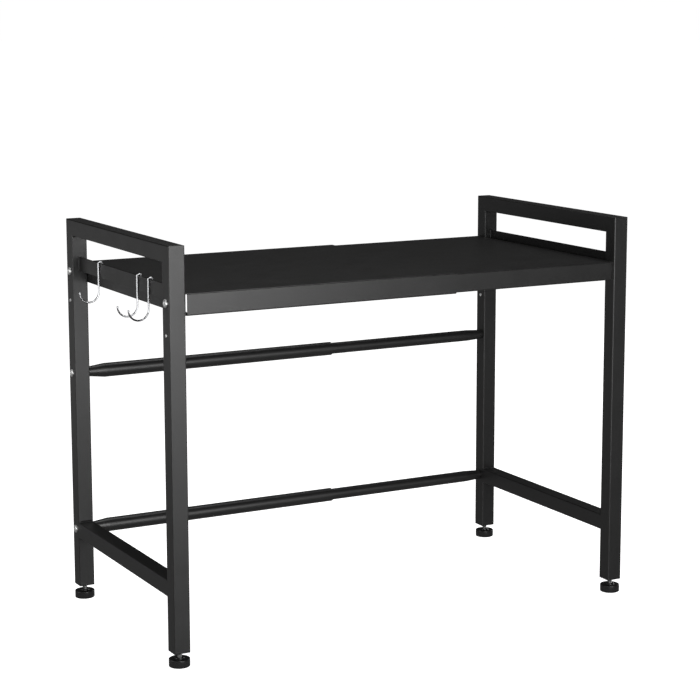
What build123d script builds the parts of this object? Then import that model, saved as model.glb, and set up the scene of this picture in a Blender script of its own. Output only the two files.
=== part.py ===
from build123d import *

import os

# Width-adjustable rack that stands over a countertop oven. Millimetres, +X to the right, +Y to
# the back, +Z up. The origin is on the floor, under the middle of the whole rack.

# The rack as a whole
rack_width = 630.7          # outer faces of the side frames, as the rack stands open
rack_depth = 327.4          # front faces to rear faces of the posts
frame_height = 473.7        # lower ends of the posts to the top of the top bars
foot_height = 18.2          # floor to the lower ends of the posts
width_travel = 230.7        # how far the right side pushes in from there

# Square tube of the side frames
tube = 20.0
tube_wall = 1.2
tube_corner = 1.3           # outside corner radius
tube_bore_corner = 0.4      # inside corner radius
rail_height = 63.5          # lower ends of the posts to the underside of the lower rails

# Flat bar at shelf level, in the middle plane of each side frame
strip_height = 18.0
strip_thickness = 2.0
strip_edge = 0.4            # rounded edges
strip_drop = 47.0           # top of the top bars to the top of the flat bars

# Shelf, two bent sheets of which one slides inside the other
sheet = 0.8
shelf_drop = 55.2           # top of the top bars to the top of the shelf
lip_height = 25.4
lip_return = 12.0           # depth of the inward edge under the lips
flange_return = 11.0        # the same under the side flange
sheet_bend = 1.6            # outside bend radius
panel_gap = 0.3             # between the outer and the inner sheet
panel_setback = 2.2         # rear lip in front of the posts' rear faces
outer_relief = 2.1          # between the left posts and the outer sheet's lips
inner_relief = 3.3          # between the right posts and the inner sheet's lips
outer_end_gap = 3.1         # free edge of the outer sheet to the right posts, rack closed
inner_end_gap = 16.3        # free edge of the inner sheet to the left posts, rack closed

# Round telescopic bars at the back
bar_diameter = 18.0
bar_wall = 1.0
bar_gap = 0.4               # between the outer and the inner tube, on the radius
bar_neck_diameter = 12.4    # both tubes are drawn in to this where they stand on the posts
bar_neck_length = 23.0
outer_bar_end_gap = 10.0    # free end of the outer tube to the right post, rack closed
inner_bar_end_gap = 3.3     # free end of the inner tube to the outer tube's neck, rack closed
lower_bar_height = 91.6     # floor to the bars' axes
upper_bar_drop = 56.5       # lowest spare screw to the upper bars' axis

# Bolts, nuts and small screws
bolt_diameter = 5.0
bolt_head_diameter = 10.0
bolt_head_height = 2.2
bolt_head_round = 1.2
bolt_clearance = 0.25       # on the radius, in the holes of the posts
thread_gap = 0.05           # on the radius, in and round the nuts and plugs
recess_length = 4.6         # cross recess of the bolt heads
recess_width = 1.1
recess_depth = 1.2
bar_bolt_reach = 8.0        # how far a crossbar bolt goes into its plug
nut_diameter = 7.9          # round nuts, pressed into the sheet of the shelf
nut_height = 2.0
nut_shank_diameter = 6.4    # the part of a nut that sits in the sheet
shelf_bolt_drop = 10.6      # top of the shelf to the bolts' axes
screw_diameter = 3.0
screw_head_diameter = 4.4
screw_head_height = 0.8
screw_head_round = 0.4
screw_length = 8.0
screw_pitch = 37.0          # shelf bolt to spare screw, and on to the next

# Levelling feet
pad_diameter = 25.0
pad_height = 9.2
pad_round = 0.8
hub_diameter = 11.0
hub_height = 1.4
stud_diameter = 6.0
stud_head_diameter = 11.0
stud_head_height = 2.0
stud_head_floor = 2.4       # floor to the underside of the stud's head
stud_head_gap = 0.3         # above and below the head, inside the pad
stud_top = 37.0             # floor to the top end of the stud
stud_chamfer = 0.5
plug_flange = 1.0
plug_length = 12.0
plug_gap = 0.1              # between the plug and the tube's bore

# Wire hooks on the left flat bar
wire = 2.2
hook_gap = 0.3              # between the wire and the flat bar
hook_bend = 12.5            # radius of the hook, to the middle of the wire
hook_corner = 1.3           # radius of the two bends over the bar, to the middle of the wire
hook_inner_leg = 12.0       # how far the short leg reaches down behind the bar
hook_centre_drop = 35.3     # top of the flat bar to the middle of the hook's curve
hook_tip = 1.0              # straight end past the curve
wire_round = 0.8            # rounded ends of the wire
hook_places = {"front_hook": 78.5, "middle_hook": 112.5, "rear_hook": 237.4}  # behind the front

overrun = 5.0               # how far every cut runs past what it cuts

# Places that follow from the sizes
hook_leg = tube / 2 - strip_thickness / 2 - hook_gap - wire / 2     # long leg, inward of the posts
hook_reach = 2 * hook_bend + wire / 2 - hook_leg                    # hook, outward of the posts
left = -(rack_width + bolt_head_height - hook_reach) / 2
right = left + rack_width
front = -rack_depth / 2
rear = rack_depth / 2
front_axis = front + tube / 2
rear_axis = rear - tube / 2
top = foot_height + frame_height
shelf_top = top - shelf_drop
shelf_bolt_height = shelf_top - shelf_bolt_drop
strip_top = top - strip_drop
bore = tube - 2 * tube_wall
inner_bar_diameter = bar_diameter - 2 * bar_wall - 2 * bar_gap
upper_bar_height = shelf_bolt_height - 2 * screw_pitch - upper_bar_drop
bar_heights = (lower_bar_height, upper_bar_height)
between_posts = rack_depth - 2 * tube
closed_span = rack_width - width_travel - 2 * tube

# Each side: its name, the outer face of its posts, and which way is outward
sides = (("left", left, -1), ("right", right, 1))
ends = (("front", front_axis, 1), ("rear", rear_axis, -1))

os.makedirs("parts", exist_ok=True)


def keep(builder, name):
    """Label a finished piece and write it."""
    builder.part.label = name
    export_step(builder.part, f"parts/{name}.step")


def tube_section():
    """Square tube, drawn at the current place of the sketch."""
    RectangleRounded(tube, tube, tube_corner)
    RectangleRounded(bore, bore, tube_bore_corner, mode=Mode.SUBTRACT)


def mitre(y_face, toward_back):
    """Plane through the outer and the inner corner where a post meets the top bar."""
    return Plane(origin=(0, y_face, top), z_dir=(0, toward_back, 1))


# Side frames: two posts, the top bar, the lower rail and the flat bar at shelf level
for side, outer_face, outward in sides:
    middle = outer_face - outward * tube / 2
    inner_face = outer_face - outward * tube
    outer_wall = outer_face - outward * tube_wall / 2

    for end, axis, toward_back in ends:
        with BuildPart() as post:
            with BuildSketch(Plane.XY.offset(foot_height)):
                with Locations((middle, axis)):
                    tube_section()
            extrude(amount=frame_height)
            split(bisect_by=mitre(axis - toward_back * tube / 2, toward_back), keep=Keep.BOTTOM)
            through = [(middle, axis, shelf_bolt_height)]
            if end == "rear":
                through += [(middle, axis, height) for height in bar_heights]
            with Locations(*through):
                Cylinder(bolt_diameter / 2 + bolt_clearance, tube + overrun,
                         rotation=(0, 90, 0), mode=Mode.SUBTRACT)
            one_wall = [(outer_wall, axis, shelf_bolt_height - screw_pitch)]
            if end == "rear":
                inner_wall = inner_face + outward * tube_wall / 2
                one_wall += [(inner_wall, axis, shelf_bolt_height - 2 * screw_pitch)]
            with Locations(*one_wall):
                Cylinder(screw_diameter / 2 + thread_gap, 2 * tube_wall,
                         rotation=(0, 90, 0), mode=Mode.SUBTRACT)
        keep(post, f"{side}_{end}_post")

    with BuildPart() as top_bar:
        with BuildSketch(Plane.XZ.offset(-front)):
            with Locations((middle, top - tube / 2)):
                tube_section()
        extrude(amount=-rack_depth)
        split(bisect_by=mitre(front, 1), keep=Keep.TOP)
        split(bisect_by=mitre(rear, -1), keep=Keep.TOP)
    keep(top_bar, f"{side}_top_bar")

    with BuildPart() as lower_rail:
        with BuildSketch(Plane.XZ.offset(-front - tube)):
            with Locations((middle, foot_height + rail_height + tube / 2)):
                tube_section()
        extrude(amount=-between_posts)
    keep(lower_rail, f"{side}_lower_rail")

    with BuildPart() as strip:
        with BuildSketch(Plane.XZ.offset(-front - tube)):
            with Locations((middle, strip_top - strip_height / 2)):
                RectangleRounded(strip_thickness, strip_height, strip_edge)
        extrude(amount=-between_posts)
    keep(strip, f"{side}_shelf_strip")


def shelf_panel(name, post_face, inward, relief, length, inset):
    """One bent sheet of the shelf. Its side flange lies on the posts' inner faces, and it runs
    inward from there. The inner sheet is the same section, smaller all round by the inset."""
    lip_front = front + inset
    lip_rear = rear - panel_setback - inset
    sheet_top = shelf_top - inset
    sheet_bottom = shelf_top - lip_height + inset
    depth = lip_rear - lip_front
    height = sheet_top - sheet_bottom
    middle_y = (lip_front + lip_rear) / 2
    middle_z = (sheet_top + sheet_bottom) / 2
    with BuildPart() as panel:
        # Top sheet with its front and rear lips and the edges turned in under them
        with BuildSketch(Plane.YZ.offset(post_face + inward * relief)):
            with Locations((middle_y, middle_z)):
                RectangleRounded(depth, height, sheet_bend)
                RectangleRounded(depth - 2 * sheet, height - 2 * sheet, sheet_bend - sheet,
                                 mode=Mode.SUBTRACT)
            with Locations((middle_y, sheet_bottom)):
                Rectangle(depth - 2 * lip_return, 4 * sheet, mode=Mode.SUBTRACT)
        extrude(amount=inward * (length - relief))
        # Side flange with its own turned-in edge, short of the lips at both corners
        with BuildSketch(Plane.XZ.offset(-lip_front - sheet_bend)):
            with Locations((post_face + inward * flange_return, middle_z)):
                RectangleRounded(2 * flange_return, height, sheet_bend)
                RectangleRounded(2 * (flange_return - sheet), height - 2 * sheet,
                                 sheet_bend - sheet, mode=Mode.SUBTRACT)
            with Locations((post_face + inward * 2 * flange_return, middle_z)):
                Rectangle(2 * flange_return, height + overrun, mode=Mode.SUBTRACT)
        extrude(amount=-(depth - 2 * sheet_bend))
        with Locations(*[(post_face, axis, shelf_bolt_height) for axis in (front_axis, rear_axis)]):
            Cylinder(nut_shank_diameter / 2 + thread_gap, 4 * sheet, rotation=(0, 90, 0),
                     mode=Mode.SUBTRACT)
    keep(panel, name)


shelf_panel("outer_shelf_panel", left + tube, 1, outer_relief, closed_span - outer_end_gap, 0)
shelf_panel("inner_shelf_panel", right - tube, -1, inner_relief, closed_span - inner_end_gap,
            sheet + panel_gap)


def bar_plane(post_face, inward, height):
    """Plane through a crossbar's axis: its X runs inward from the rear post, its Y upward."""
    return Plane(origin=(post_face, rear_axis, height), x_dir=(inward, 0, 0),
                 z_dir=(0, -inward, 0))


def crossbar(name, post_face, inward, height, diameter, length):
    """Round tube whose end is drawn in to a cone, which stands square on a rear post."""
    base = bar_plane(post_face, inward, height)
    outline = [(0, bar_neck_diameter / 2), (bar_neck_length, diameter / 2), (length, diameter / 2)]
    bore_line = [(along, radius - bar_wall) for along, radius in reversed(outline)]
    with BuildPart() as bar:
        with BuildSketch(base):
            with BuildLine():
                Polyline(*outline, *bore_line, close=True)
            make_face()
        revolve(axis=Axis(base.origin, base.x_dir))
    keep(bar, name)


for level, height in (("lower", lower_bar_height), ("upper", upper_bar_height)):
    crossbar(f"{level}_outer_crossbar", left + tube, 1, height, bar_diameter,
             closed_span - outer_bar_end_gap)
    crossbar(f"{level}_inner_crossbar", right - tube, -1, height, inner_bar_diameter,
             closed_span - bar_neck_length - inner_bar_end_gap)


def pan_bolts(name, face, outward, places, length):
    """Bolts with rounded heads and a cross recess, seated on the outer face of a post."""
    with BuildPart() as bolts:
        with BuildSketch(Plane.YZ.offset(face)):
            with Locations(*places):
                Circle(bolt_head_diameter / 2)
        extrude(amount=outward * bolt_head_height)
        rims = bolts.edges().filter_by(GeomType.CIRCLE).sort_by(Axis.X)
        fillet(rims[-len(places):] if outward > 0 else rims[:len(places)], radius=bolt_head_round)
        with BuildSketch(Plane.YZ.offset(face)):
            with Locations(*places):
                Circle(bolt_diameter / 2)
        extrude(amount=-outward * length)
        with BuildSketch(Plane.YZ.offset(face + outward * bolt_head_height)):
            with Locations(*places):
                Rectangle(recess_length, recess_width)
                Rectangle(recess_width, recess_length)
        extrude(amount=-outward * recess_depth, mode=Mode.SUBTRACT)
    keep(bolts, name)


def spare_screws(name, outer_face, outward):
    """Small screws that close the spare holes: one in each post's outer face and one in the
    inner face of the rear post."""
    inner_face = outer_face - outward * tube
    first = shelf_bolt_height - screw_pitch
    second = first - screw_pitch
    screws = ((outer_face, outward, front_axis, first), (outer_face, outward, rear_axis, first),
              (inner_face, -outward, rear_axis, second))
    with BuildPart() as group:
        for face, way, axis, height in screws:
            with BuildSketch(Plane.YZ.offset(face)):
                with Locations((axis, height)):
                    Circle(screw_head_diameter / 2)
            extrude(amount=way * screw_head_height)
            ring = group.edges().filter_by(GeomType.CIRCLE).sort_by_distance(
                (face + way * screw_head_height, axis, height))[0]
            fillet(ring, radius=screw_head_round)
            with BuildSketch(Plane.YZ.offset(face)):
                with Locations((axis, height)):
                    Circle(screw_diameter / 2)
            extrude(amount=-way * screw_length)
    keep(group, name)


# What is bolted, plugged and screwed on each side
for side, outer_face, outward in sides:
    inner_face = outer_face - outward * tube
    flange_face = inner_face - outward * sheet
    shelf_places = [(axis, shelf_bolt_height) for axis in (front_axis, rear_axis)]
    bar_places = [(rear_axis, height) for height in bar_heights]
    tube_diameter = bar_diameter if side == "left" else inner_bar_diameter
    narrow, wide = [diameter / 2 - bar_wall - thread_gap
                    for diameter in (bar_neck_diameter, tube_diameter)]
    thread = bolt_diameter / 2 + thread_gap

    pan_bolts(f"{side}_shelf_bolts", outer_face, outward, shelf_places,
              tube + sheet + nut_height)
    pan_bolts(f"{side}_crossbar_bolts", outer_face, outward, bar_places, tube + bar_bolt_reach)
    spare_screws(f"{side}_spare_screws", outer_face, outward)

    with BuildPart() as nuts:
        for diameter, start, height in ((nut_shank_diameter, inner_face, sheet),
                                        (nut_diameter, flange_face, nut_height)):
            with BuildSketch(Plane.YZ.offset(start)):
                with Locations(*shelf_places):
                    Circle(diameter / 2)
                    Circle(bolt_diameter / 2 + thread_gap, mode=Mode.SUBTRACT)
            extrude(amount=-outward * height)
    keep(nuts, f"{side}_shelf_nuts")

    with BuildPart() as bar_plugs:
        for height in bar_heights:
            base = bar_plane(inner_face, -outward, height)
            with BuildSketch(base):
                with BuildLine():
                    Polyline((0, thread), (0, narrow), (bar_neck_length, wide),
                             (bar_neck_length, thread), close=True)
                make_face()
            revolve(axis=Axis(base.origin, base.x_dir))
    keep(bar_plugs, f"{side}_crossbar_plugs")

    with BuildPart() as foot_plugs:
        for axis in (front_axis, rear_axis):
            middle = outer_face - outward * tube / 2
            with BuildSketch(Plane.XY.offset(foot_height - plug_flange)):
                with Locations((middle, axis)):
                    RectangleRounded(tube, tube, tube_corner)
                    Circle(stud_diameter / 2 + thread_gap, mode=Mode.SUBTRACT)
            extrude(amount=plug_flange)
            with BuildSketch(Plane.XY.offset(foot_height)):
                with Locations((middle, axis)):
                    RectangleRounded(bore - 2 * plug_gap, bore - 2 * plug_gap, tube_corner)
                    Circle(stud_diameter / 2 + thread_gap, mode=Mode.SUBTRACT)
            extrude(amount=plug_length)
    keep(foot_plugs, f"{side}_foot_plugs")

# Levelling feet: a stud with a flat head, and a moulded pad that swivels on the head
for side, outer_face, outward in sides:
    middle = outer_face - outward * tube / 2
    for end, axis, toward_back in ends:
        with BuildPart() as stud:
            with BuildSketch(Plane.XY.offset(stud_head_floor)):
                with Locations((middle, axis)):
                    Circle(stud_head_diameter / 2)
            extrude(amount=stud_head_height)
            with BuildSketch(Plane.XY.offset(stud_head_floor)):
                with Locations((middle, axis)):
                    Circle(stud_diameter / 2)
            extrude(amount=stud_top - stud_head_floor)
            chamfer(stud.edges().group_by(Axis.Z)[-1], length=stud_chamfer)
        keep(stud, f"{end}_{side}_stud")

        with BuildPart() as pad:
            with BuildSketch(Plane.XY):
                with Locations((middle, axis)):
                    Circle(pad_diameter / 2)
            extrude(amount=pad_height)
            fillet(pad.edges().filter_by(GeomType.CIRCLE), radius=pad_round)
            with BuildSketch(Plane.XY.offset(pad_height)):
                with Locations((middle, axis)):
                    Circle(hub_diameter / 2)
            extrude(amount=hub_height)
            fillet(pad.edges().group_by(Axis.Z)[-1], radius=hub_height / 2)
            cavity_floor = stud_head_floor - stud_head_gap
            with BuildSketch(Plane.XY.offset(cavity_floor)):
                with Locations((middle, axis)):
                    Circle(stud_head_diameter / 2 + thread_gap)
            extrude(amount=stud_head_height + 2 * stud_head_gap, mode=Mode.SUBTRACT)
            with BuildSketch(Plane.XY.offset(cavity_floor)):
                with Locations((middle, axis)):
                    Circle(stud_diameter / 2 + thread_gap)
            extrude(amount=pad_height + hub_height, mode=Mode.SUBTRACT)
        keep(pad, f"{end}_{side}_pad")

# Wire hooks: a square loop over the flat bar, a long leg outside it, and a half circle outward
for name, behind_front in hook_places.items():
    leg = left + hook_leg
    short_leg = left + tube - hook_leg
    loop_top = strip_top + hook_gap + wire / 2
    curve_height = strip_top - hook_centre_drop
    with BuildPart() as hook:
        with BuildLine(Plane.XZ.offset(-front - behind_front)) as route:
            loop = FilletPolyline((short_leg, strip_top - hook_inner_leg), (short_leg, loop_top),
                                  (leg, loop_top), (leg, curve_height), radius=hook_corner)
            curve = JernArc(loop @ 1, loop % 1, hook_bend, -180)
            Line(curve @ 1, curve @ 1 + (curve % 1) * hook_tip)
        with BuildSketch(Plane(origin=route.line @ 0, z_dir=route.line % 0)):
            Circle(wire / 2)
        sweep(path=route.line)
        fillet(hook.edges().filter_by(GeomType.CIRCLE).sort_by_distance(route.line @ 0)[0],
               radius=wire_round)
        fillet(hook.edges().filter_by(GeomType.CIRCLE).sort_by_distance(route.line @ 1)[0],
               radius=wire_round)
    keep(hook, name)
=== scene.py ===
import math

import bpy
import numpy as np
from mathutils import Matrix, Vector


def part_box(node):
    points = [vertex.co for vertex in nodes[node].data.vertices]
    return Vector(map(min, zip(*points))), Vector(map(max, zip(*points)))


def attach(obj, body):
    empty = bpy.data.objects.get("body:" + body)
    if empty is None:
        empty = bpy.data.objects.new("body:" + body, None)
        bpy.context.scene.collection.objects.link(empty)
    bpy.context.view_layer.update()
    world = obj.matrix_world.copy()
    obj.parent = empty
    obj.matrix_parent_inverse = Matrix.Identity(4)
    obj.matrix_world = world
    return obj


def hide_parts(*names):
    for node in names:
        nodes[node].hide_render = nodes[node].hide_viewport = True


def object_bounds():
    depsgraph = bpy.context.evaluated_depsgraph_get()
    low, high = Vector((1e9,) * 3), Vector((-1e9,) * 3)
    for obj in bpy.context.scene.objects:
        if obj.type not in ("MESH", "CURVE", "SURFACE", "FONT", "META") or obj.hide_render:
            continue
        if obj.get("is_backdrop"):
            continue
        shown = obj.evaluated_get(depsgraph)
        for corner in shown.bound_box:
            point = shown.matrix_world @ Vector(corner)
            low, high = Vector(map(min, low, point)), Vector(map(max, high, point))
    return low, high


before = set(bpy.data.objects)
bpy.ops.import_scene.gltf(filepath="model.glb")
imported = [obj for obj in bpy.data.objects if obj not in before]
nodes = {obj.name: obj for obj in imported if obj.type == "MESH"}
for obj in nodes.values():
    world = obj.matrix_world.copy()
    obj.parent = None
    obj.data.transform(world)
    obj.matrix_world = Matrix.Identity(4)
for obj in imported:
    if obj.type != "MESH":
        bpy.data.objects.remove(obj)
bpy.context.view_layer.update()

# Side frames. Each is a ring of 20 mm square steel tube: two posts, a top bar and a lower rail. A
# flat bar crosses it at shelf level. It is welded, ground flush where two faces run on, and baked
# in a black powder coat with a satin sheen and a very fine orange peel.

MM = 0.001
SIDES = (("left", -1), ("right", 1))
SPECK_CELLS = 1400          # to the metre, as are the next three
PEEL_CELLS = 1100
CLOUD_CELLS = 30
WAVE_CELLS = 7
SHEEN_DRIFT = 0.025         # of the roughness, up and down
PEEL_DEPTH = 0.4 * MM
WAVE_DEPTH = 4.0 * MM


def new_finish(name, even):
    """A new material, with its node tree and its shader. What is even all over it is set on the
    shader's own sockets."""
    finish = bpy.data.materials.new(name)
    finish.use_nodes = True
    shader = finish.node_tree.nodes["Principled BSDF"]
    for socket, value in even.items():
        shader.inputs[socket].default_value = value
    return finish, finish.node_tree, shader


def noise(tree, cells, detail):
    """Cloudy noise that is fixed to the piece, with so many cells to the metre."""
    place = tree.nodes.new("ShaderNodeTexCoord")
    texture = tree.nodes.new("ShaderNodeTexNoise")
    texture.inputs["Scale"].default_value = cells
    texture.inputs["Detail"].default_value = detail
    tree.links.new(place.outputs["Object"], texture.inputs["Vector"])
    return texture.outputs["Fac"]


def vary_tone(tree, shader, source, dark, light, start=0.0, end=1.0):
    """Base colour that goes from dark to light as the source goes from start to end."""
    tone = tree.nodes.new("ShaderNodeValToRGB")
    for stop, share, colour in zip(tone.color_ramp.elements, (start, end), (dark, light)):
        stop.position = share
        stop.color = (*colour, 1)
    tree.links.new(source, tone.inputs["Fac"])
    tree.links.new(tone.outputs["Color"], shader.inputs["Base Color"])


def vary_sheen(tree, shader, source, smooth, rough, start=0.0, end=1.0):
    """Roughness that goes from smooth to rough as the source goes from start to end."""
    sheen = tree.nodes.new("ShaderNodeMapRange")
    sheen.inputs["From Min"].default_value = start
    sheen.inputs["From Max"].default_value = end
    sheen.inputs["To Min"].default_value = smooth
    sheen.inputs["To Max"].default_value = rough
    tree.links.new(source, sheen.inputs["Value"])
    tree.links.new(sheen.outputs["Result"], shader.inputs["Roughness"])


def add_bump(tree, shader, source, strength, depth):
    """Relief with the source as its height, on top of any relief that the shader has already."""
    bump = tree.nodes.new("ShaderNodeBump")
    bump.inputs["Strength"].default_value = strength
    bump.inputs["Distance"].default_value = depth
    tree.links.new(source, bump.inputs["Height"])
    for below in [link.from_socket for link in shader.inputs["Normal"].links]:
        tree.links.new(below, bump.inputs["Normal"])
    tree.links.new(bump.outputs["Normal"], shader.inputs["Normal"])


def powder_coat(name, roughness, peel, wave=0.0):
    """Black coat: near-black speckled pigment, a sheen that drifts slowly, orange peel as a fine
    bump, and on thin sheet also a slow wave."""
    coat, tree, shader = new_finish(name, {"IOR": 1.58})
    vary_sheen(tree, shader, noise(tree, CLOUD_CELLS, detail=3), smooth=roughness - SHEEN_DRIFT,
               rough=roughness + SHEEN_DRIFT, start=0.3, end=0.7)
    vary_tone(tree, shader, noise(tree, SPECK_CELLS, detail=2), dark=(0.0035, 0.0035, 0.0036),
              light=(0.0080, 0.0078, 0.0076), start=0.35, end=0.70)
    if wave:
        add_bump(tree, shader, noise(tree, WAVE_CELLS, detail=1), strength=wave, depth=WAVE_DEPTH)
    add_bump(tree, shader, noise(tree, PEEL_CELLS, detail=2), strength=peel, depth=PEEL_DEPTH)
    return coat


def dress(material, *names):
    """Gives CAD nodes a finish."""
    for name in names:
        nodes[name].data.materials.clear()
        nodes[name].data.materials.append(material)


frame_coat = powder_coat("frame_powder_coat", roughness=0.40, peel=0.06)
for side, _ in SIDES:
    dress(frame_coat, *(f"{side}_{part}" for part in (
        "front_post", "rear_post", "top_bar", "lower_rail", "shelf_strip")))

# Welds. Small rippled fillets close the corners where the lower rail, the top bar and the flat bar
# meet the posts, and a ground filling levels the grooves beside the rail's ends. All of them lie
# under the coat.

FILLET_LEG = 2.0 * MM
STRIP_FILLET_LEG = 1.4 * MM
FILLET_FACETS = 8           # from face to face
RIPPLE_PITCH = 1.5 * MM
RIPPLE_RINGS = 6            # to a ripple
RIPPLE_HEIGHT = 0.05        # share of the leg
RIPPLE_BOW = 0.35           # share of the pitch
BEAD_ROUNDNESS = 0.38       # share of the full round in a bead's section, the rest is straight
BEAD_ROOT = 0.1             # how far a bead starts behind the corner, in legs
BEAD_END = 0.25             # size of a bead's ends, as a share
BEAD_END_POWER = 14         # the higher, the shorter are the thin ends
TUBE_CORNER = 1.3 * MM
GROOVE_FACETS = 6
GROOVE_RINGS = 12
SHARP_ANGLE = 40            # degrees


def closed_skin(points):
    """Corner list and face list of a closed skin. The points are a grid, one row for each ring
    round the piece: quads join neighbouring rings and one flat face closes each end. Corner dot
    the cross product of the next two, added up over the quads, has the sign of the volume, and
    tells whether the faces must be turned."""
    rows, columns = points.shape[:2]
    here = np.arange(rows * columns).reshape(rows, columns)
    beside = np.roll(here, -1, axis=1)
    quads = np.stack([here[:-1], beside[:-1], beside[1:], here[1:]], axis=-1).reshape(-1, 4)
    corners = points.reshape(-1, 3)
    centred = corners - corners.mean(axis=0)
    a, b, c, d = (centred[quads[:, k]] for k in range(4))
    volume = np.einsum("ij,ij->", a, np.cross(b, c)) + np.einsum("ij,ij->", a, np.cross(c, d))
    caps = [here[0, ::-1].tolist(), here[-1].tolist()]
    faces = quads.tolist() + caps
    if volume < 0:
        faces = [face[::-1] for face in faces]
    return corners, faces


def make_piece(name, grids, material, body, replaced=(), sharp=SHARP_ANGLE):
    """One object from several closed skins, smooth but for edges sharper than the given angle. It
    rides on its body and may stand for CAD nodes."""
    corners, faces, used = [], [], 0
    for grid in grids:
        skin_corners, skin_faces = closed_skin(grid)
        corners.append(skin_corners)
        faces += [[used + k for k in face] for face in skin_faces]
        used += len(skin_corners)
    mesh = bpy.data.meshes.new(name)
    mesh.from_pydata(np.concatenate(corners).tolist(), [], faces)
    mesh.shade_smooth()
    mesh.set_sharp_from_angle(angle=math.radians(sharp))
    mesh.materials.append(material)
    piece = bpy.data.objects.new(name, mesh)
    bpy.context.scene.collection.objects.link(piece)
    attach(piece, body)
    if replaced:
        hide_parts(*replaced)


def weld_fillet(start, end, along_first, along_second, leg):
    """Bead in a corner of two faces, from start to end. At angle t between the faces it reaches
    leg times a mix of the straight chord, one over (cos t + sin t), and of the full round, and a
    cosine along the seam, bowed by sin 2t, lays the ripples. Both ends thin out, as the root of
    one less a high power of the distance from the middle."""
    start, end = np.array(start, float), np.array(end, float)
    ripples = np.linalg.norm(end - start) / RIPPLE_PITCH
    u = np.linspace(0, 1, int(ripples * RIPPLE_RINGS))[:, None]
    t = np.linspace(0, np.pi / 2, FILLET_FACETS + 1)[None, :]
    reach = (1 - BEAD_ROUNDNESS) / (np.cos(t) + np.sin(t)) + BEAD_ROUNDNESS
    phase = 2 * np.pi * (u * ripples + RIPPLE_BOW * np.sin(2 * t))
    thin = np.clip(1 - np.abs(2 * u - 1) ** BEAD_END_POWER, 0, 1) ** 0.5
    swell = (1 + RIPPLE_HEIGHT * np.cos(phase)) * (BEAD_END + (1 - BEAD_END) * thin)
    radius = leg * reach * swell
    first, second = np.array(along_first, float), np.array(along_second, float)
    line = start + u * (end - start)
    bead = (line[:, None, :] + (radius * np.cos(t))[..., None] * first
            + (radius * np.sin(t))[..., None] * second)
    root = line - BEAD_ROOT * leg * (first + second)
    return np.concatenate([root[:, None, :], bead], axis=1)


def groove_fill(edge_x, outward, edge_y, along, low_z, high_z):
    """Filling between a post's rounded corner and the flat end of a rail: the square of the corner
    radius less the quarter round of the post, carried straight up."""
    t = np.linspace(0, np.pi / 2, GROOVE_FACETS + 1)
    round_x = edge_x - outward * TUBE_CORNER * (1 - np.sin(t))
    round_y = edge_y - along * TUBE_CORNER * (1 - np.cos(t))
    outline = np.stack([np.append(round_x, edge_x), np.append(round_y, edge_y)], axis=1)
    heights = np.linspace(low_z, high_z, GROOVE_RINGS)
    ring = np.broadcast_to(outline, (len(heights), *outline.shape))
    return np.concatenate([ring, np.broadcast_to(heights[:, None, None],
                                                 (*ring.shape[:2], 1))], axis=2)


for side, _ in SIDES:
    rail_low, rail_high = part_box(f"{side}_lower_rail")
    bar_low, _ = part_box(f"{side}_top_bar")
    strip_low, strip_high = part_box(f"{side}_shelf_strip")
    x_low, x_high = rail_low.x + TUBE_CORNER, rail_high.x - TUBE_CORNER
    beads = []
    for y, along in ((rail_low.y, 1), (rail_high.y, -1)):
        toward = (0, along, 0)
        beads += [weld_fillet((x_low, y, z), (x_high, y, z), toward, (0, 0, way), FILLET_LEG)
                  for z, way in ((rail_low.z, -1), (rail_high.z, 1), (bar_low.z, -1))]
        beads += [weld_fillet((x, y, strip_low.z), (x, y, strip_high.z), toward, (way, 0, 0),
                              STRIP_FILLET_LEG)
                  for x, way in ((strip_low.x, -1), (strip_high.x, 1))]
        beads += [groove_fill(x, way, y, along, rail_low.z + TUBE_CORNER,
                              rail_high.z - TUBE_CORNER)
                  for x, way in ((rail_low.x, -1), (rail_high.x, 1))]
    make_piece(f"{side}_welds", beads, frame_coat, f"{side}_side")

# Shelf sheets. Two bent sheets of 0.8 mm steel, the right one inside the left one, with lips turned
# down and in at the front and the back. They carry the same coat, a little smoother, on sheet that
# is never quite flat.

sheet_coat = powder_coat("sheet_powder_coat", roughness=0.38, peel=0.05, wave=0.02)
dress(sheet_coat, "outer_shelf_panel", "inner_shelf_panel")

# Crossbars. Telescopic round tubes in the frames' coat, with their ends drawn in to a cone at the
# posts. A tapered plastic plug, threaded for the bolt, sits in each drawn-in end, and a flanged one
# of the same plastic, threaded for the foot, in the lower end of each post.

GRAIN_CELLS = 2600          # to the metre
GRAIN_DEPTH = 0.2 * MM
dress(frame_coat, *(f"{level}_{tube}_crossbar" for level in ("lower", "upper")
                    for tube in ("outer", "inner")))


def moulded_plastic(name):
    """Black moulded plastic: a fine spark-eroded grain as bump, and a tone and a sheen that vary
    with it."""
    plastic, tree, shader = new_finish(name, {"IOR": 1.49})
    grain = noise(tree, GRAIN_CELLS, detail=3)
    vary_tone(tree, shader, grain, dark=(0.004, 0.004, 0.004), light=(0.012, 0.012, 0.012))
    vary_sheen(tree, shader, grain, smooth=0.18, rough=0.30)
    add_bump(tree, shader, grain, strength=0.12, depth=GRAIN_DEPTH)
    return plastic


plug_plastic = moulded_plastic("plug_plastic")
for side, _ in SIDES:
    dress(plug_plastic, f"{side}_crossbar_plugs", f"{side}_foot_plugs")

# Bolts. M5 pan heads with a cross recess hold the shelf's flanges and the crossbars to the posts.
# They are headed from steel wire, thread-rolled and plated in bright zinc. The round nuts pressed
# into the flanges have the same plating.

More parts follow.
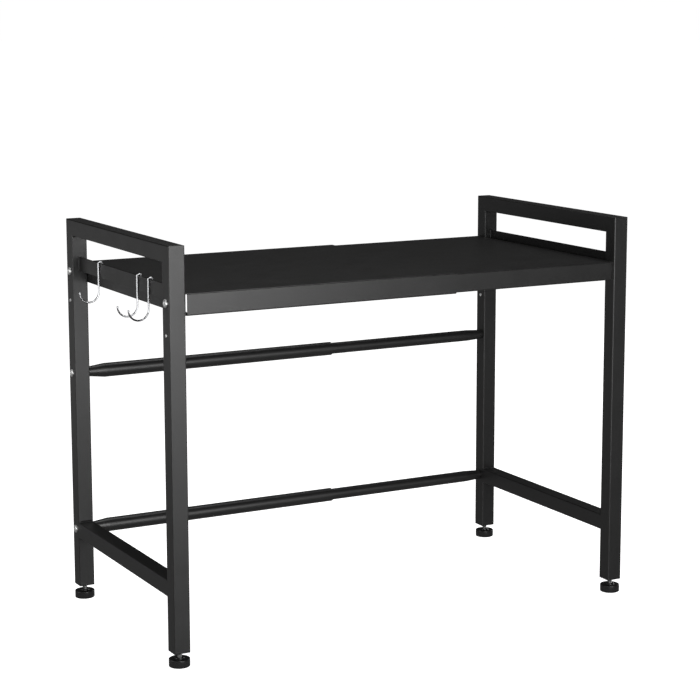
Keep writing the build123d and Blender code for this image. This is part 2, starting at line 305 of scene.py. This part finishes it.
BOLT_HEAD_HEIGHT = 2.2 * MM
BOLT_HEAD_RADIUS = 5.0 * MM
BOLT_SHANK_RADIUS = 2.45 * MM
BOLT_PITCH = 0.8 * MM
BOLT_RECESS = (4.8 * MM, 1.15 * MM, 1.25 * MM)      # length, width and depth of its two slots
SCREW_FACETS = 96
HEAD_RINGS = 40
HEAD_POLE = 0.03            # radians left open at a head's middle, where a flat face closes it
HEAD_RIM = 0.28             # share of a head's height that stands straight
WALL_STEEPNESS = 2          # of the long walls of a slot, against its ends
WALL_SLOPE = 0.35           # share of a slot's width that its ends take to slope down
EDGE_DEPTH = 0.3            # share of the recess's depth that its outline has already
THREAD_DEPTH = 0.54         # in pitches, as are the next three
FLANK = 1 / 2.7
HALF_CREST = 0.17 * FLANK
TIP_LENGTH = 0.6
TIP_TAPER = 0.75            # radius of a shank's end, as a share
THREAD_RINGS = 7            # to a turn
DARK_ZINC_TINT = (1, 1.01, 1.02)
LIGHT_ZINC_TINT = (1, 1, 0.98)
PATCH_CELLS = 420           # to the metre
PATCH_DEPTH = 0.1 * MM


def zinc_plate(name, dark, light, smooth, rough):
    """Zinc plate: a grey metal whose tone and sheen drift in small patches, with faint bump. Dark
    patches are a little bluish and light ones a little yellow."""
    plate, tree, shader = new_finish(name, {"Metallic": 1.0})
    patches = noise(tree, PATCH_CELLS, detail=4)
    vary_tone(tree, shader, patches, dark=[dark * share for share in DARK_ZINC_TINT],
              light=[light * share for share in LIGHT_ZINC_TINT], start=0.3, end=0.7)
    vary_sheen(tree, shader, patches, smooth, rough)
    add_bump(tree, shader, patches, strength=0.10, depth=PATCH_DEPTH)
    return plate


def thread(radius, pitch, along, angle):
    """Radius of a screw thread: it falls from the crest by a share of the pitch, along straight
    flanks with flat crests and roots between them, as the phase, which is along / pitch less the
    share of a turn, goes round."""
    phase = np.mod(along / pitch - angle / (2 * np.pi), 1)
    fall = np.clip((np.abs(phase - 0.5) - HALF_CREST) / FLANK, 0, 1)
    return radius - THREAD_DEPTH * pitch * fall


def pan_screw(place, outward, head_radius, head_height, recess, shank_radius, pitch, length):
    """Pan-head screw about the X axis, as rings of angle a. The head's height over its seat is a
    straight rim and a dome, the square root of 1 - s to the fourth with s the radius share, less
    the recess: two crossed slots with sloping walls. The shank follows as a thread, drawn in at
    its tip."""
    a = np.linspace(0, 2 * np.pi, SCREW_FACETS, endpoint=False)[None, :]
    share = np.sin(np.linspace(HEAD_POLE, np.pi / 2, HEAD_RINGS))[:, None]
    r_head = head_radius * share + 0 * a
    rim = HEAD_RIM * head_height
    dome = rim + (head_height - rim) * np.sqrt(np.clip(1 - share ** 4, 0, 1))
    slot_length, slot_width, slot_depth = recess
    across, up = np.abs(r_head * np.cos(a)), np.abs(r_head * np.sin(a))
    outside = np.minimum(
        np.maximum(across - slot_length / 2, (up - slot_width / 2) * WALL_STEEPNESS),
        np.maximum(up - slot_length / 2, (across - slot_width / 2) * WALL_STEEPNESS))
    sunk = np.clip(EDGE_DEPTH - outside / (WALL_SLOPE * slot_width), 0, 1)
    h_head = dome - slot_depth * sunk
    z_shank = np.linspace(0, length, int(length / pitch * THREAD_RINGS))[:, None]
    tip = np.clip((length - z_shank) / (TIP_LENGTH * pitch), TIP_TAPER, 1)
    r_shank = thread(shank_radius, pitch, z_shank, a) * tip
    r_all = np.concatenate([r_head, np.full_like(a, head_radius), r_shank])
    h_all = np.concatenate([h_head, np.zeros_like(a), -z_shank + 0 * a])
    return np.stack([place[0] + outward * h_all, place[1] + r_all * np.cos(a),
                     place[2] + r_all * np.sin(a)], axis=-1)


def bolt(x, y, z, outward, length):
    """Bolt whose head sits on the face at x and whose shank goes inward: a pan screw."""
    return pan_screw((x, y, z), outward, BOLT_HEAD_RADIUS, BOLT_HEAD_HEIGHT, BOLT_RECESS,
                     BOLT_SHANK_RADIUS, BOLT_PITCH, length)


zinc = zinc_plate("zinc_plate", dark=0.84, light=0.94, smooth=0.34, rough=0.46)
for side, outward in SIDES:
    post_low, post_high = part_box(f"{side}_front_post")
    seat = post_low.x if outward < 0 else post_high.x
    for node, row in ((f"{side}_shelf_bolts", "y"), (f"{side}_crossbar_bolts", "z")):
        low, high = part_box(node)
        length = high.x - low.x - BOLT_HEAD_HEIGHT
        middle = (low + high) / 2
        ends = (getattr(low, row) + BOLT_HEAD_RADIUS, getattr(high, row) - BOLT_HEAD_RADIUS)
        places = [(end, middle.z) if row == "y" else (middle.y, end) for end in ends]
        make_piece(f"{node}_plated", [bolt(seat, y, z, outward, length) for y, z in places],
                   zinc, f"{side}_side", [node])
    dress(zinc, f"{side}_shelf_nuts")

# Blanking screws. Small zinc-plated screws close the spare holes of the posts: one in the outer
# face of each post and one in the inner face of each rear post.

SCREW_HEAD_RADIUS = 2.2 * MM
SCREW_HEAD_HEIGHT = 0.8 * MM
SCREW_SHANK_RADIUS = 1.5 * MM
SCREW_PITCH = 0.5 * MM
SCREW_LENGTH = 8.0 * MM
SCREW_RECESS = (2.2 * MM, 0.5 * MM, 0.4 * MM)
for side, outward in SIDES:
    low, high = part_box(f"{side}_spare_screws")
    front_y, rear_y = low.y + SCREW_HEAD_RADIUS, high.y - SCREW_HEAD_RADIUS
    low_z, high_z = low.z + SCREW_HEAD_RADIUS, high.z - SCREW_HEAD_RADIUS
    post_low, post_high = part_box(f"{side}_front_post")
    outer, inner = (post_low.x, post_high.x) if outward < 0 else (post_high.x, post_low.x)
    seats = ((outer, front_y, high_z, outward), (outer, rear_y, high_z, outward),
             (inner, rear_y, low_z, -outward))
    make_piece(f"{side}_spare_screws_plated",
               [pan_screw((x, y, z), way, SCREW_HEAD_RADIUS, SCREW_HEAD_HEIGHT, SCREW_RECESS,
                          SCREW_SHANK_RADIUS, SCREW_PITCH, SCREW_LENGTH)
                for x, y, z, way in seats],
               zinc, f"{side}_side", [f"{side}_spare_screws"])

# Foot studs. M6 threaded rod with a flat round head at the foot, screwed up into the plug of each
# post. Its zinc is duller than that of the bolts.

FEET = [f"{end}_{side}" for side, _ in SIDES for end in ("front", "rear")]
STUD_RADIUS = 2.95 * MM
STUD_PITCH = 1.0 * MM
STUD_CHAMFER = 0.5 * MM
STUD_HEAD_RADIUS = 5.5 * MM
STUD_HEAD_HEIGHT = 2.0 * MM
STUD_EASE = 0.3 * MM
STUD_POLE = 0.4 * MM        # radius of the ring that a flat face closes
STUD_FACETS = 48
STUD_RINGS = 8              # to a turn of the thread


def foot_stud(low, high):
    """Threaded rod about the Z axis: an eased flat head, then a thread. No radius is more than the
    rod's less the chamfer, plus the height left to the end, and that chamfers the last turn."""
    a = np.linspace(0, 2 * np.pi, STUD_FACETS, endpoint=False)[None, :]
    eased = STUD_HEAD_RADIUS - STUD_EASE
    head_r = np.array([STUD_POLE, eased, STUD_HEAD_RADIUS, STUD_HEAD_RADIUS, eased])[:, None]
    head_z = low.z + np.array([0, 0, STUD_EASE, STUD_HEAD_HEIGHT - STUD_EASE,
                               STUD_HEAD_HEIGHT])[:, None]
    rod_z = np.linspace(low.z + STUD_HEAD_HEIGHT, high.z,
                        int((high.z - low.z) / STUD_PITCH * STUD_RINGS))[:, None]
    rod_r = thread(STUD_RADIUS, STUD_PITCH, rod_z, a)
    rod_r = np.minimum(rod_r, STUD_RADIUS - STUD_CHAMFER + (high.z - rod_z))
    r = np.concatenate([head_r + 0 * a, rod_r])
    z = np.concatenate([head_z, rod_z]) + 0 * a
    centre = (low + high) / 2
    return np.stack([centre.x + r * np.cos(a), centre.y + r * np.sin(a), z], axis=-1)


dull_zinc = zinc_plate("dull_zinc_plate", dark=0.26, light=0.38, smooth=0.34, rough=0.50)
for foot in FEET:
    make_piece(f"{foot}_threaded_stud", [foot_stud(*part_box(f"{foot}_stud"))], dull_zinc,
               f"{foot}_stud", [f"{foot}_stud"], sharp=50)

# Foot pads. Moulded black plastic discs with a low hub round the stud. The stud's head turns in a
# pocket inside, and the underside has a shallow hollow, so that the pad stands on its rim.

PAD_ROUND = 0.8 * MM
HUB_RADIUS = 5.5 * MM
HUB_HEIGHT = 1.4 * MM
HUB_ROUND = 0.6 * MM
PAD_HOLE_RADIUS = 3.1 * MM
POCKET_RADIUS = 5.6 * MM
POCKET_FLOOR = 2.1 * MM
POCKET_TOP = 4.7 * MM
HOLLOW_RADIUS = 8.4 * MM
HOLLOW_DEPTH = 0.8 * MM
PAD_POLE = 0.3 * MM
PAD_FACETS = 72


def arc(centre_r, centre_z, radius, first, last, count=7):
    """Points of a circular arc in the plane of radius and height, angles in degrees."""
    t = np.radians(np.linspace(first, last, count))
    return np.stack([centre_r + radius * np.cos(t), centre_z + radius * np.sin(t)], axis=1)


def foot_pad(low, high):
    """Pad turned about the Z axis: its outline runs from the hollow underneath, round the rim, over
    the top and the hub, and down through the hole into the pocket of the stud's head."""
    radius = (high.x - low.x) / 2
    height = high.z - low.z
    shoulder = height - HUB_HEIGHT
    outline = np.concatenate([
        [(PAD_POLE, HOLLOW_DEPTH), (HOLLOW_RADIUS, HOLLOW_DEPTH),
         (HOLLOW_RADIUS + HOLLOW_DEPTH, 0)],
        arc(radius - PAD_ROUND, PAD_ROUND, PAD_ROUND, -90, 0),
        arc(radius - PAD_ROUND, shoulder - PAD_ROUND, PAD_ROUND, 0, 90),
        arc(HUB_RADIUS + HUB_ROUND, shoulder + HUB_ROUND, HUB_ROUND, 270, 180),
        arc(HUB_RADIUS - HUB_ROUND, height - HUB_ROUND, HUB_ROUND, 0, 90),
        [(PAD_HOLE_RADIUS, height), (PAD_HOLE_RADIUS, POCKET_TOP), (POCKET_RADIUS, POCKET_TOP),
         (POCKET_RADIUS, POCKET_FLOOR), (PAD_POLE, POCKET_FLOOR)]])
    a = np.linspace(0, 2 * np.pi, PAD_FACETS, endpoint=False)[None, :]
    centre = (low + high) / 2
    r, z = outline[:, :1], outline[:, 1:]
    return np.stack([centre.x + r * np.cos(a), centre.y + r * np.sin(a), low.z + z + 0 * a],
                    axis=-1)


pad_plastic = moulded_plastic("pad_plastic")
for foot in FEET:
    make_piece(f"{foot}_moulded_pad", [foot_pad(*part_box(f"{foot}_pad"))], pad_plastic,
               f"{foot}_pad", [f"{foot}_pad"], sharp=30)

# Hooks. Each is one length of 2.2 mm steel wire, bent into a square loop over the flat bar, a long
# leg outside it and a half circle outward, with its cut ends rounded, and chrome plated.

HOOK_BEND = 12.5 * MM
HOOK_CORNER = 1.3 * MM
HOOK_INNER_LEG = 12.0 * MM
HOOK_TIP = 1.0 * MM
HOOK_END_ROUND = 0.8 * MM
WIRE_FACETS = 24
BEND_RINGS = 49
CORNER_RINGS = 9
END_RINGS = 6
MARK_CELLS = 900            # to the metre
MARK_DEPTH = 0.1 * MM


def chrome_plate(name):
    """Chrome over drawn wire: mirror bright, with a trace of drawing marks in tone, sheen and
    bump."""
    plate, tree, shader = new_finish(name, {"Metallic": 1.0})
    marks = noise(tree, MARK_CELLS, detail=3)
    vary_tone(tree, shader, marks, dark=(0.44, 0.45, 0.47), light=(0.54, 0.54, 0.54))
    vary_sheen(tree, shader, marks, smooth=0.05, rough=0.17)
    add_bump(tree, shader, marks, strength=0.05, depth=MARK_DEPTH)
    return plate


def straight(start, end, stops):
    """Points on a line at the given distances from its start, with its direction at each."""
    start, end = np.array(start, float), np.array(end, float)
    way = (end - start) / np.linalg.norm(end - start)
    return start + np.outer(stops, way), np.tile(way, (len(stops), 1))


def turn(centre, radius, first, last, count):
    """Points on an arc between two angles in degrees, with the direction of travel at each."""
    t = np.radians(np.linspace(first, last, count))
    way = np.sign(last - first)
    points = np.array(centre) + radius * np.stack([np.cos(t), np.sin(t)], axis=1)
    return points, way * np.stack([-np.sin(t), np.cos(t)], axis=1)


def wire_hook(low, high, strip_top):
    """Round wire carried along the hook's line in the XZ plane. Each ring stands square to the
    line; at both ends the ring's radius grows over the end round as a quarter circle does."""
    wire = (high.y - low.y) / 2
    leg = low.x + wire + 2 * HOOK_BEND
    short_leg = high.x - wire
    loop = high.z - wire
    curve = low.z + wire + HOOK_BEND
    start_z = strip_top - HOOK_INNER_LEG
    rise = loop - HOOK_CORNER - start_z
    ease = HOOK_END_ROUND * (1 - np.cos(np.linspace(0, np.pi / 2, END_RINGS)))
    runs = [
        straight((short_leg, start_z), (short_leg, loop), np.append(ease, rise)),
        turn((short_leg - HOOK_CORNER, loop - HOOK_CORNER), HOOK_CORNER, 0, 90, CORNER_RINGS),
        turn((leg + HOOK_CORNER, loop - HOOK_CORNER), HOOK_CORNER, 90, 180, CORNER_RINGS),
        turn((leg - HOOK_BEND, curve), HOOK_BEND, 0, -180, BEND_RINGS),
        straight((leg - 2 * HOOK_BEND, curve), (leg - 2 * HOOK_BEND, curve + HOOK_TIP),
                 (HOOK_TIP - ease)[::-1])]
    line = np.concatenate([points for points, _ in runs])
    way = np.concatenate([ways for _, ways in runs])
    swell = wire - HOOK_END_ROUND + np.sqrt(HOOK_END_ROUND ** 2 - (HOOK_END_ROUND - ease) ** 2)
    radius = np.concatenate([swell, np.full(len(line) - 2 * len(swell), wire), swell[::-1]])
    a = np.linspace(0, 2 * np.pi, WIRE_FACETS, endpoint=False)[None, :]
    square = np.stack([-way[:, 1], way[:, 0]], axis=1)
    in_plane = radius[:, None] * np.cos(a)
    middle_y = (low.y + high.y) / 2
    return np.stack([line[:, :1] + in_plane * square[:, :1],
                     middle_y + radius[:, None] * np.sin(a),
                     line[:, 1:] + in_plane * square[:, 1:]], axis=-1)


chrome = chrome_plate("hook_chrome_plate")
_, strip_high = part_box("left_shelf_strip")
for hook in ("front_hook", "middle_hook", "rear_hook"):
    make_piece(f"{hook}_wire", [wire_hook(*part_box(hook), strip_high.z)], chrome, hook,
               [hook], sharp=60)

# Studio. A pale floor that glows as a light table does, inside a white dome that only the camera
# sees. The floor lies a little lower than the pads stand, so that a foot that is screwed right out
# stays in view. Black sheen mirrors a dimmer plane below it, as it would a room's shaded floor.

FLOOR_DROP = 10.5 * MM
FLOOR_REACH = 40.0
UNDER_DROP = 2 * FLOOR_DROP
DOME_RADIUS = 38.0
DOME_POLE = 0.01            # radians left open at each pole, where a flat face closes the dome
DOME_FACETS = 64
DOME_RINGS = 33
BLACK = (0, 0, 0, 1)
PALE = (0.80, 0.80, 0.80, 1)
WHITE = (1, 1, 1, 1)


def studio_piece(name, corners, faces, finish):
    """One object of the studio, from its corners and faces."""
    mesh = bpy.data.meshes.new(name)
    mesh.from_pydata(corners, [], faces)
    mesh.materials.append(finish)
    piece = bpy.data.objects.new(name, mesh)
    bpy.context.scene.collection.objects.link(piece)
    return piece


def level_plane(name, height, finish):
    """A level square about the Z axis, at a height."""
    corners = [(x * FLOOR_REACH, y * FLOOR_REACH, height)
               for x, y in ((-1, -1), (1, -1), (1, 1), (-1, 1))]
    return studio_piece(name, corners, [(0, 1, 2, 3)], finish)


floor_paint, _, _ = new_finish("floor_paint", {
    "Base Color": PALE, "Roughness": 1.0, "Specular IOR Level": 0.0,
    "Emission Color": WHITE, "Emission Strength": 1.0})
floor = level_plane("floor", -FLOOR_DROP, floor_paint)
floor.visible_glossy = False
floor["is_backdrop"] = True

under_light, _, _ = new_finish("under_light", {
    "Base Color": BLACK, "Specular IOR Level": 0.0,
    "Emission Color": WHITE, "Emission Strength": 0.15})
under = level_plane("floor_reflection", -UNDER_DROP, under_light)
under.visible_camera = False
under.visible_diffuse = False
under.visible_shadow = False
under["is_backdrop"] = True

around = np.linspace(0, 2 * np.pi, DOME_FACETS, endpoint=False)[None, :]
rise = np.linspace(-0.5 * np.pi + DOME_POLE, 0.5 * np.pi - DOME_POLE, DOME_RINGS)[:, None]
dome_points = DOME_RADIUS * np.stack([np.cos(rise) * np.cos(around), np.cos(rise) * np.sin(around),
                                      np.sin(rise) + 0 * around], axis=-1)
dome_corners, dome_faces = closed_skin(dome_points)
dome_light, _, _ = new_finish("dome_light", {
    "Base Color": BLACK, "Emission Color": WHITE, "Emission Strength": 1.0})
dome = studio_piece("dome", dome_corners.tolist(), dome_faces, dome_light)
dome.visible_glossy = False
dome.visible_diffuse = False
dome.visible_shadow = False
dome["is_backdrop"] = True

# Light. Soft boxes stand in front, at the sides, overhead and close by at the left rear, in a room
# that gives a trace of light from all round. The Standard view keeps white white.

ROOM_GLOW = 0.03
RACK_MIDDLE = (0, 0, 0.25)
room = bpy.data.worlds.new("room")
room.use_nodes = True
room.node_tree.nodes["Background"].inputs["Color"].default_value = WHITE
room.node_tree.nodes["Background"].inputs["Strength"].default_value = ROOM_GLOW
bpy.context.scene.world = room
bpy.context.scene.view_settings.view_transform = "Standard"


def soft_box(name, place, aim, size, watts):
    """A rectangular area light at a place, turned to face a point, and never seen itself."""
    data = bpy.data.lights.new(name, "AREA")
    data.shape = "RECTANGLE"
    data.size, data.size_y = size
    data.energy = watts
    box = bpy.data.objects.new(name, data)
    box.location = place
    box.rotation_euler = (Vector(aim) - Vector(place)).to_track_quat("-Z", "Y").to_euler()
    box.visible_camera = False
    bpy.context.scene.collection.objects.link(box)


soft_box("overhead_box", place=(0, 0.2, 2.0), aim=(0, 0, 0.4), size=(1.5, 1.5), watts=18)
soft_box("front_box", place=(-0.1, -1.9, 0.5), aim=RACK_MIDDLE, size=(1.4, 1.2), watts=34)
soft_box("front_left_box", place=(-1.7, -1.5, 0.5), aim=RACK_MIDDLE, size=(1.2, 0.9), watts=3.5)
soft_box("near_left_box", place=(-0.75, 0.8, 0.27), aim=(-0.31, 0, 0.27), size=(0.6, 0.5),
         watts=0.15)
soft_box("left_box", place=(-2.2, 0.3, 0.55), aim=RACK_MIDDLE, size=(1.2, 1.0), watts=10)
soft_box("right_box", place=(2.2, 0.8, 0.55), aim=RACK_MIDDLE, size=(1.2, 1.0), watts=13)

# Camera. Set from the photograph: its place, its turn and its focal length in pixels reproduce the
# rack's edges there, with a small shift of the lens.

PICTURE = 700.0             # pixels to a side
FOCAL_PIXELS = 1959.5
AXIS_PIXEL = (370.0, 315.0)
CAMERA_PLACE = (-1157.8 * MM, -2172.0 * MM, 760.1 * MM)
CAMERA_DIP = 9.055          # degrees below level
CAMERA_TURN = 28.877        # degrees to the right of straight back
lens = bpy.data.cameras.new("camera")
lens.sensor_width = 36.0
lens.lens = FOCAL_PIXELS / PICTURE * lens.sensor_width
lens.shift_x = -(AXIS_PIXEL[0] - PICTURE / 2) / PICTURE
lens.shift_y = (AXIS_PIXEL[1] - PICTURE / 2) / PICTURE
lens.dof.use_dof = False
camera = bpy.data.objects.new("camera", lens)
camera.location = CAMERA_PLACE
camera.rotation_euler = (math.radians(90 - CAMERA_DIP), 0, math.radians(-CAMERA_TURN))
bpy.context.scene.collection.objects.link(camera)
bpy.context.scene.camera = camera

low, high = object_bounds()
